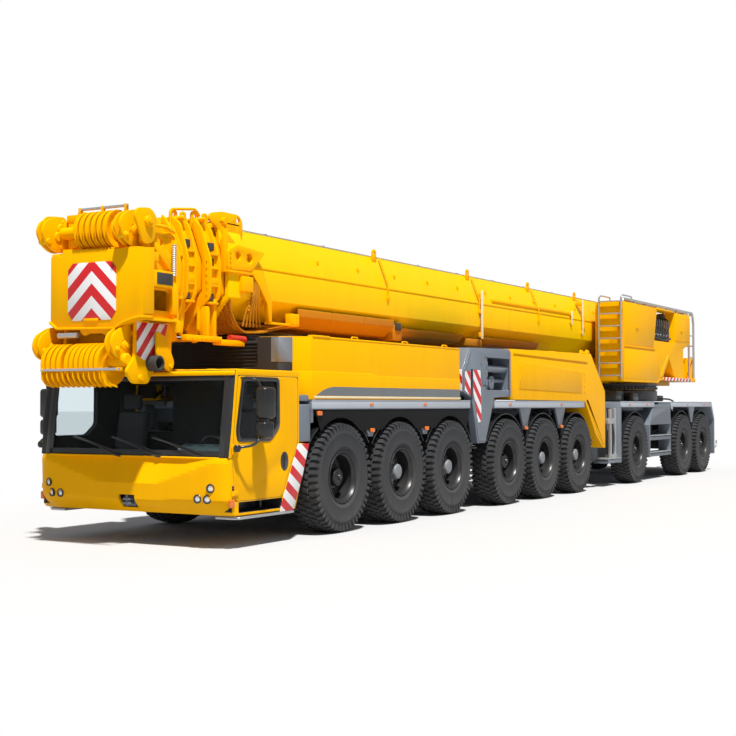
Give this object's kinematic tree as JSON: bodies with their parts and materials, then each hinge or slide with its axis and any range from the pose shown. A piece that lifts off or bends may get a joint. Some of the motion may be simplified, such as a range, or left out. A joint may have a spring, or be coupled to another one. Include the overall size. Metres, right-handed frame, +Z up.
{
  "type": "mobile crane",
  "caption": "Telescopic-boom mobile crane on a multi-axle road carrier, boom lowered over the cab, with steered wheels, swing-out outriggers, slewing superstructure and luffing boom.",
  "frame": {"origin": "ground level under the middle of the crane's overall length and width", "axes": "+X towards the front of the carrier, +Y to its left, +Z up"},
  "size_m": [23.06, 3.72, 4.23],
  "materials": {
    "yellow_paint": "glossy yellow paint",
    "grey_paint": "satin grey paint",
    "dark_steel": "dark painted steel",
    "dark_trim": "dark plastic and cloth trim",
    "tyre": "black rubber on black steel rims",
    "chrome": "hard-chromed rod",
    "glass": "tinted safety glass"
  },
  "bodies": {
    "carrier": {"chassis_frame": "grey_paint", "deck_mudguards": "grey_paint", "cab_shell": "yellow_paint", "windscreen": "glass", "cab_interior": "dark_trim", "engine_cover": "yellow_paint", "carrier_engine": "dark_steel", "axles": "dark_steel"},
    "door_left": {"cab_door_left": "yellow_paint"},
    "door_right": {"cab_door_right": "yellow_paint"},
    "superstructure": {"superstructure_frame": "yellow_paint", "machinery_housing": "yellow_paint"},
    "luffing_barrel": {"luffing_barrel": "yellow_paint"},
    "luffing_rod": {"luffing_rod": "chrome"},
    "boom_base": {"boom_base": "yellow_paint"},
    "boom_section_1": {"boom_section_1": "yellow_paint"},
    "boom_section_2": {"boom_section_2": "yellow_paint"},
    "boom_head": {"boom_head": "yellow_paint"},
    "knuckle_1_left": {"knuckle_1_left": "dark_steel"},
    "wheel_1_left": {"wheel_1_left": "tyre"},
    "knuckle_2_left": {"knuckle_2_left": "dark_steel"},
    "wheel_2_left": {"wheel_2_left": "tyre"},
    "knuckle_3_left": {"knuckle_3_left": "dark_steel"},
    "wheel_3_left": {"wheel_3_left": "tyre"},
    "knuckle_4_left": {"knuckle_4_left": "dark_steel"},
    "wheel_4_left": {"wheel_4_left": "tyre"},
    "knuckle_5_left": {"knuckle_5_left": "dark_steel"},
    "wheel_5_left": {"wheel_5_left": "tyre"},
    "knuckle_6_left": {"knuckle_6_left": "dark_steel"},
    "wheel_6_left": {"wheel_6_left": "tyre"},
    "knuckle_7_left": {"knuckle_7_left": "dark_steel"},
    "wheel_7_left": {"wheel_7_left": "tyre"},
    "knuckle_8_left": {"knuckle_8_left": "dark_steel"},
    "wheel_8_left": {"wheel_8_left": "tyre"},
    "knuckle_9_left": {"knuckle_9_left": "dark_steel"},
    "wheel_9_left": {"wheel_9_left": "tyre"},
    "knuckle_1_right": {"knuckle_1_right": "dark_steel"},
    "wheel_1_right": {"wheel_1_right": "tyre"},
    "knuckle_2_right": {"knuckle_2_right": "dark_steel"},
    "wheel_2_right": {"wheel_2_right": "tyre"},
    "knuckle_3_right": {"knuckle_3_right": "dark_steel"},
    "wheel_3_right": {"wheel_3_right": "tyre"},
    "knuckle_4_right": {"knuckle_4_right": "dark_steel"},
    "wheel_4_right": {"wheel_4_right": "tyre"},
    "knuckle_5_right": {"knuckle_5_right": "dark_steel"},
    "wheel_5_right": {"wheel_5_right": "tyre"},
    "knuckle_6_right": {"knuckle_6_right": "dark_steel"},
    "wheel_6_right": {"wheel_6_right": "tyre"},
    "knuckle_7_right": {"knuckle_7_right": "dark_steel"},
    "wheel_7_right": {"wheel_7_right": "tyre"},
    "knuckle_8_right": {"knuckle_8_right": "dark_steel"},
    "wheel_8_right": {"wheel_8_right": "tyre"},
    "knuckle_9_right": {"knuckle_9_right": "dark_steel"},
    "wheel_9_right": {"wheel_9_right": "tyre"},
    "outrigger_beam_left": {"outrigger_beam_left": "yellow_paint"},
    "outrigger_head_left": {"outrigger_head_left": "grey_paint"},
    "outrigger_jack_left": {"outrigger_jack_left": "chrome"},
    "outrigger_beam_right": {"outrigger_beam_right": "yellow_paint"},
    "outrigger_head_right": {"outrigger_head_right": "grey_paint"},
    "outrigger_jack_right": {"outrigger_jack_right": "chrome"}
  },
  "joints": [
    {"name": "door_left", "type": "hinge", "parent": "carrier", "child": "door_left", "pos_m": [10.553, 1.515, 1.3], "axis": [0, 0, -1], "range_deg": [0, 70]},
    {"name": "door_right", "type": "hinge", "parent": "carrier", "child": "door_right", "pos_m": [10.553, -1.515, 1.3], "axis": [0, 0, 1], "range_deg": [0, 70]},
    {"name": "steer_1_left", "type": "hinge", "parent": "carrier", "child": "knuckle_1_left", "pos_m": [8.08, 1.1205, 0.74], "axis": [0, 0, 1], "range_deg": [-34, 34]},
    {"name": "spin_1_left", "type": "hinge", "parent": "knuckle_1_left", "child": "wheel_1_left", "pos_m": [8.08, 1.3275, 0.74], "axis": [0, 1, 0], "continuous": true},
    {"name": "steer_2_left", "type": "hinge", "parent": "carrier", "child": "knuckle_2_left", "pos_m": [6.43, 1.1205, 0.74], "axis": [0, 0, 1], "range_deg": [-29.67, 29.67]},
    {"name": "spin_2_left", "type": "hinge", "parent": "knuckle_2_left", "child": "wheel_2_left", "pos_m": [6.43, 1.3275, 0.74], "axis": [0, 1, 0], "continuous": true},
    {"name": "steer_3_left", "type": "hinge", "parent": "carrier", "child": "knuckle_3_left", "pos_m": [4.78, 1.1205, 0.74], "axis": [0, 0, 1], "range_deg": [-24.84, 24.84]},
    {"name": "spin_3_left", "type": "hinge", "parent": "knuckle_3_left", "child": "wheel_3_left", "pos_m": [4.78, 1.3275, 0.74], "axis": [0, 1, 0], "continuous": true},
    {"name": "steer_4_left", "type": "hinge", "parent": "carrier", "child": "knuckle_4_left", "pos_m": [2.58, 1.1205, 0.74], "axis": [0, 0, 1], "range_deg": [-17.76, 17.76]},
    {"name": "spin_4_left", "type": "hinge", "parent": "knuckle_4_left", "child": "wheel_4_left", "pos_m": [2.58, 1.3275, 0.74], "axis": [0, 1, 0], "continuous": true},
    {"name": "steer_5_left", "type": "hinge", "parent": "carrier", "child": "knuckle_5_left", "pos_m": [0.93, 1.1205, 0.74], "axis": [0, 0, 1], "range_deg": [-12.02, 12.02]},
    {"name": "spin_5_left", "type": "hinge", "parent": "knuckle_5_left", "child": "wheel_5_left", "pos_m": [0.93, 1.3275, 0.74], "axis": [0, 1, 0], "continuous": true},
    {"name": "steer_6_left", "type": "hinge", "parent": "carrier", "child": "knuckle_6_left", "pos_m": [-0.77, 1.1205, 0.74], "axis": [0, 0, 1], "range_deg": [-5.82, 5.82]},
    {"name": "spin_6_left", "type": "hinge", "parent": "knuckle_6_left", "child": "wheel_6_left", "pos_m": [-0.77, 1.3275, 0.74], "axis": [0, 1, 0], "continuous": true},
    {"name": "steer_7_left", "type": "hinge", "parent": "carrier", "child": "knuckle_7_left", "pos_m": [-4.37, 1.1205, 0.74], "axis": [0, 0, 1], "range_deg": [-7.67, 7.67]},
    {"name": "spin_7_left", "type": "hinge", "parent": "knuckle_7_left", "child": "wheel_7_left", "pos_m": [-4.37, 1.3275, 0.74], "axis": [0, 1, 0], "continuous": true},
    {"name": "steer_8_left", "type": "hinge", "parent": "carrier", "child": "knuckle_8_left", "pos_m": [-7.92, 1.1205, 0.74], "axis": [0, 0, 1], "range_deg": [-20.09, 20.09]},
    {"name": "spin_8_left", "type": "hinge", "parent": "knuckle_8_left", "child": "wheel_8_left", "pos_m": [-7.92, 1.3275, 0.74], "axis": [0, 1, 0], "continuous": true},
    {"name": "steer_9_left", "type": "hinge", "parent": "carrier", "child": "knuckle_9_left", "pos_m": [-9.62, 1.1205, 0.74], "axis": [0, 0, 1], "range_deg": [-25.45, 25.45]},
    {"name": "spin_9_left", "type": "hinge", "parent": "knuckle_9_left", "child": "wheel_9_left", "pos_m": [-9.62, 1.3275, 0.74], "axis": [0, 1, 0], "continuous": true},
    {"name": "steer_1_right", "type": "hinge", "parent": "carrier", "child": "knuckle_1_right", "pos_m": [8.08, -1.1205, 0.74], "axis": [0, 0, 1], "range_deg": [-34.05, 34.05]},
    {"name": "spin_1_right", "type": "hinge", "parent": "knuckle_1_right", "child": "wheel_1_right", "pos_m": [8.08, -1.3275, 0.74], "axis": [0, 1, 0], "continuous": true},
    {"name": "steer_2_right", "type": "hinge", "parent": "carrier", "child": "knuckle_2_right", "pos_m": [6.43, -1.1205, 0.74], "axis": [0, 0, 1], "range_deg": [-29.67, 29.67]},
    {"name": "spin_2_right", "type": "hinge", "parent": "knuckle_2_right", "child": "wheel_2_right", "pos_m": [6.43, -1.3275, 0.74], "axis": [0, 1, 0], "continuous": true},
    {"name": "steer_3_right", "type": "hinge", "parent": "carrier", "child": "knuckle_3_right", "pos_m": [4.78, -1.1205, 0.74], "axis": [0, 0, 1], "range_deg": [-24.84, 24.84]},
    {"name": "spin_3_right", "type": "hinge", "parent": "knuckle_3_right", "child": "wheel_3_right", "pos_m": [4.78, -1.3275, 0.74], "axis": [0, 1, 0], "continuous": true},
    {"name": "steer_4_right", "type": "hinge", "parent": "carrier", "child": "knuckle_4_right", "pos_m": [2.58, -1.1205, 0.74], "axis": [0, 0, 1], "range_deg": [-17.76, 17.76]},
    {"name": "spin_4_right", "type": "hinge", "parent": "knuckle_4_right", "child": "wheel_4_right", "pos_m": [2.58, -1.3275, 0.74], "axis": [0, 1, 0], "continuous": true},
    {"name": "steer_5_right", "type": "hinge", "parent": "carrier", "child": "knuckle_5_right", "pos_m": [0.93, -1.1205, 0.74], "axis": [0, 0, 1], "range_deg": [-12.02, 12.02]},
    {"name": "spin_5_right", "type": "hinge", "parent": "knuckle_5_right", "child": "wheel_5_right", "pos_m": [0.93, -1.3275, 0.74], "axis": [0, 1, 0], "continuous": true},
    {"name": "steer_6_right", "type": "hinge", "parent": "carrier", "child": "knuckle_6_right", "pos_m": [-0.77, -1.1205, 0.74], "axis": [0, 0, 1], "range_deg": [-5.82, 5.82]},
    {"name": "spin_6_right", "type": "hinge", "parent": "knuckle_6_right", "child": "wheel_6_right", "pos_m": [-0.77, -1.3275, 0.74], "axis": [0, 1, 0], "continuous": true},
    {"name": "steer_7_right", "type": "hinge", "parent": "carrier", "child": "knuckle_7_right", "pos_m": [-4.37, -1.1205, 0.74], "axis": [0, 0, 1], "range_deg": [-7.67, 7.67]},
    {"name": "spin_7_right", "type": "hinge", "parent": "knuckle_7_right", "child": "wheel_7_right", "pos_m": [-4.37, -1.3275, 0.74], "axis": [0, 1, 0], "continuous": true},
    {"name": "steer_8_right", "type": "hinge", "parent": "carrier", "child": "knuckle_8_right", "pos_m": [-7.92, -1.1205, 0.74], "axis": [0, 0, 1], "range_deg": [-20.09, 20.09]},
    {"name": "spin_8_right", "type": "hinge", "parent": "knuckle_8_right", "child": "wheel_8_right", "pos_m": [-7.92, -1.3275, 0.74], "axis": [0, 1, 0], "continuous": true},
    {"name": "steer_9_right", "type": "hinge", "parent": "carrier", "child": "knuckle_9_right", "pos_m": [-9.62, -1.1205, 0.74], "axis": [0, 0, 1], "range_deg": [-25.45, 25.45]},
    {"name": "spin_9_right", "type": "hinge", "parent": "knuckle_9_right", "child": "wheel_9_right", "pos_m": [-9.62, -1.3275, 0.74], "axis": [0, 1, 0], "continuous": true},
    {"name": "outrigger_swing_left", "type": "hinge", "parent": "carrier", "child": "outrigger_beam_left", "pos_m": [-2.02, 1.215, 1.3], "axis": [0, 0, 1], "range_deg": [0, 70]},
    {"name": "outrigger_slide_left", "type": "slide", "parent": "outrigger_beam_left", "child": "outrigger_head_left", "axis": [1, 0, 0], "range_m": [0, 2.4]},
    {"name": "outrigger_jack_left", "type": "slide", "parent": "outrigger_head_left", "child": "outrigger_jack_left", "axis": [0, 0, -1], "range_m": [0, 0.99]},
    {"name": "outrigger_swing_right", "type": "hinge", "parent": "carrier", "child": "outrigger_beam_right", "pos_m": [-2.02, -1.215, 1.3], "axis": [0, 0, -1], "range_deg": [0, 70]},
    {"name": "outrigger_slide_right", "type": "slide", "parent": "outrigger_beam_right", "child": "outrigger_head_right", "axis": [1, 0, 0], "range_m": [0, 2.4]},
    {"name": "outrigger_jack_right", "type": "slide", "parent": "outrigger_head_right", "child": "outrigger_jack_right", "axis": [0, 0, -1], "range_m": [0, 0.99]},
    {"name": "slew", "type": "hinge", "parent": "carrier", "child": "superstructure", "pos_m": [-5.92, 0, 2.1], "axis": [0, 0, 1], "continuous": true},
    {"name": "luff", "type": "hinge", "parent": "superstructure", "child": "boom_base", "pos_m": [-8.12, 0, 3.45], "axis": [0, -1, 0], "range_deg": [0, 82]},
    {"name": "luffing_barrel_pivot", "type": "hinge", "parent": "superstructure", "child": "luffing_barrel", "pos_m": [-5.92, 0, 2.47], "axis": [0, -1, 0], "range_deg": [0, 91.87]},
    {"name": "luffing_rod_slide", "type": "slide", "parent": "luffing_barrel", "child": "luffing_rod", "axis": [0.999, 0, 0.0444], "range_m": [0, 3.026]},
    {"name": "telescope_1", "type": "slide", "parent": "boom_base", "child": "boom_section_1", "axis": [1, 0, 0], "range_m": [0, 11.8]},
    {"name": "telescope_2", "type": "slide", "parent": "boom_section_1", "child": "boom_section_2", "axis": [1, 0, 0], "range_m": [0, 11.8]},
    {"name": "telescope_3", "type": "slide", "parent": "boom_section_2", "child": "boom_head", "axis": [1, 0, 0], "range_m": [0, 11]}
  ],
  "couplings": [
    {"joint": "steer_2_left", "follows": "steer_1_left", "ratio": 0.8711},
    {"joint": "steer_3_left", "follows": "steer_1_left", "ratio": 0.7292},
    {"joint": "steer_4_left", "follows": "steer_1_left", "ratio": 0.5208},
    {"joint": "steer_5_left", "follows": "steer_1_left", "ratio": 0.352},
    {"joint": "steer_6_left", "follows": "steer_1_left", "ratio": 0.1698},
    {"joint": "steer_7_left", "follows": "steer_1_left", "ratio": -0.224},
    {"joint": "steer_8_left", "follows": "steer_1_left", "ratio": -0.5894},
    {"joint": "steer_9_left", "follows": "steer_1_left", "ratio": -0.7471},
    {"joint": "steer_1_right", "follows": "steer_1_left", "ratio": 1},
    {"joint": "steer_2_right", "follows": "steer_1_left", "ratio": 0.8711},
    {"joint": "steer_3_right", "follows": "steer_1_left", "ratio": 0.7292},
    {"joint": "steer_4_right", "follows": "steer_1_left", "ratio": 0.5208},
    {"joint": "steer_5_right", "follows": "steer_1_left", "ratio": 0.352},
    {"joint": "steer_6_right", "follows": "steer_1_left", "ratio": 0.1698},
    {"joint": "steer_7_right", "follows": "steer_1_left", "ratio": -0.224},
    {"joint": "steer_8_right", "follows": "steer_1_left", "ratio": -0.5894},
    {"joint": "steer_9_right", "follows": "steer_1_left", "ratio": -0.7471},
    {"joint": "outrigger_slide_left", "follows": "outrigger_swing_left", "m_per_rad": 1.964},
    {"joint": "outrigger_slide_right", "follows": "outrigger_swing_right", "m_per_rad": 1.964},
    {"joint": "luffing_barrel_pivot", "follows": "luff", "ratio": 1.1197},
    {"joint": "luffing_rod_slide", "follows": "luff", "m_per_rad": 2.1132}
  ]
}
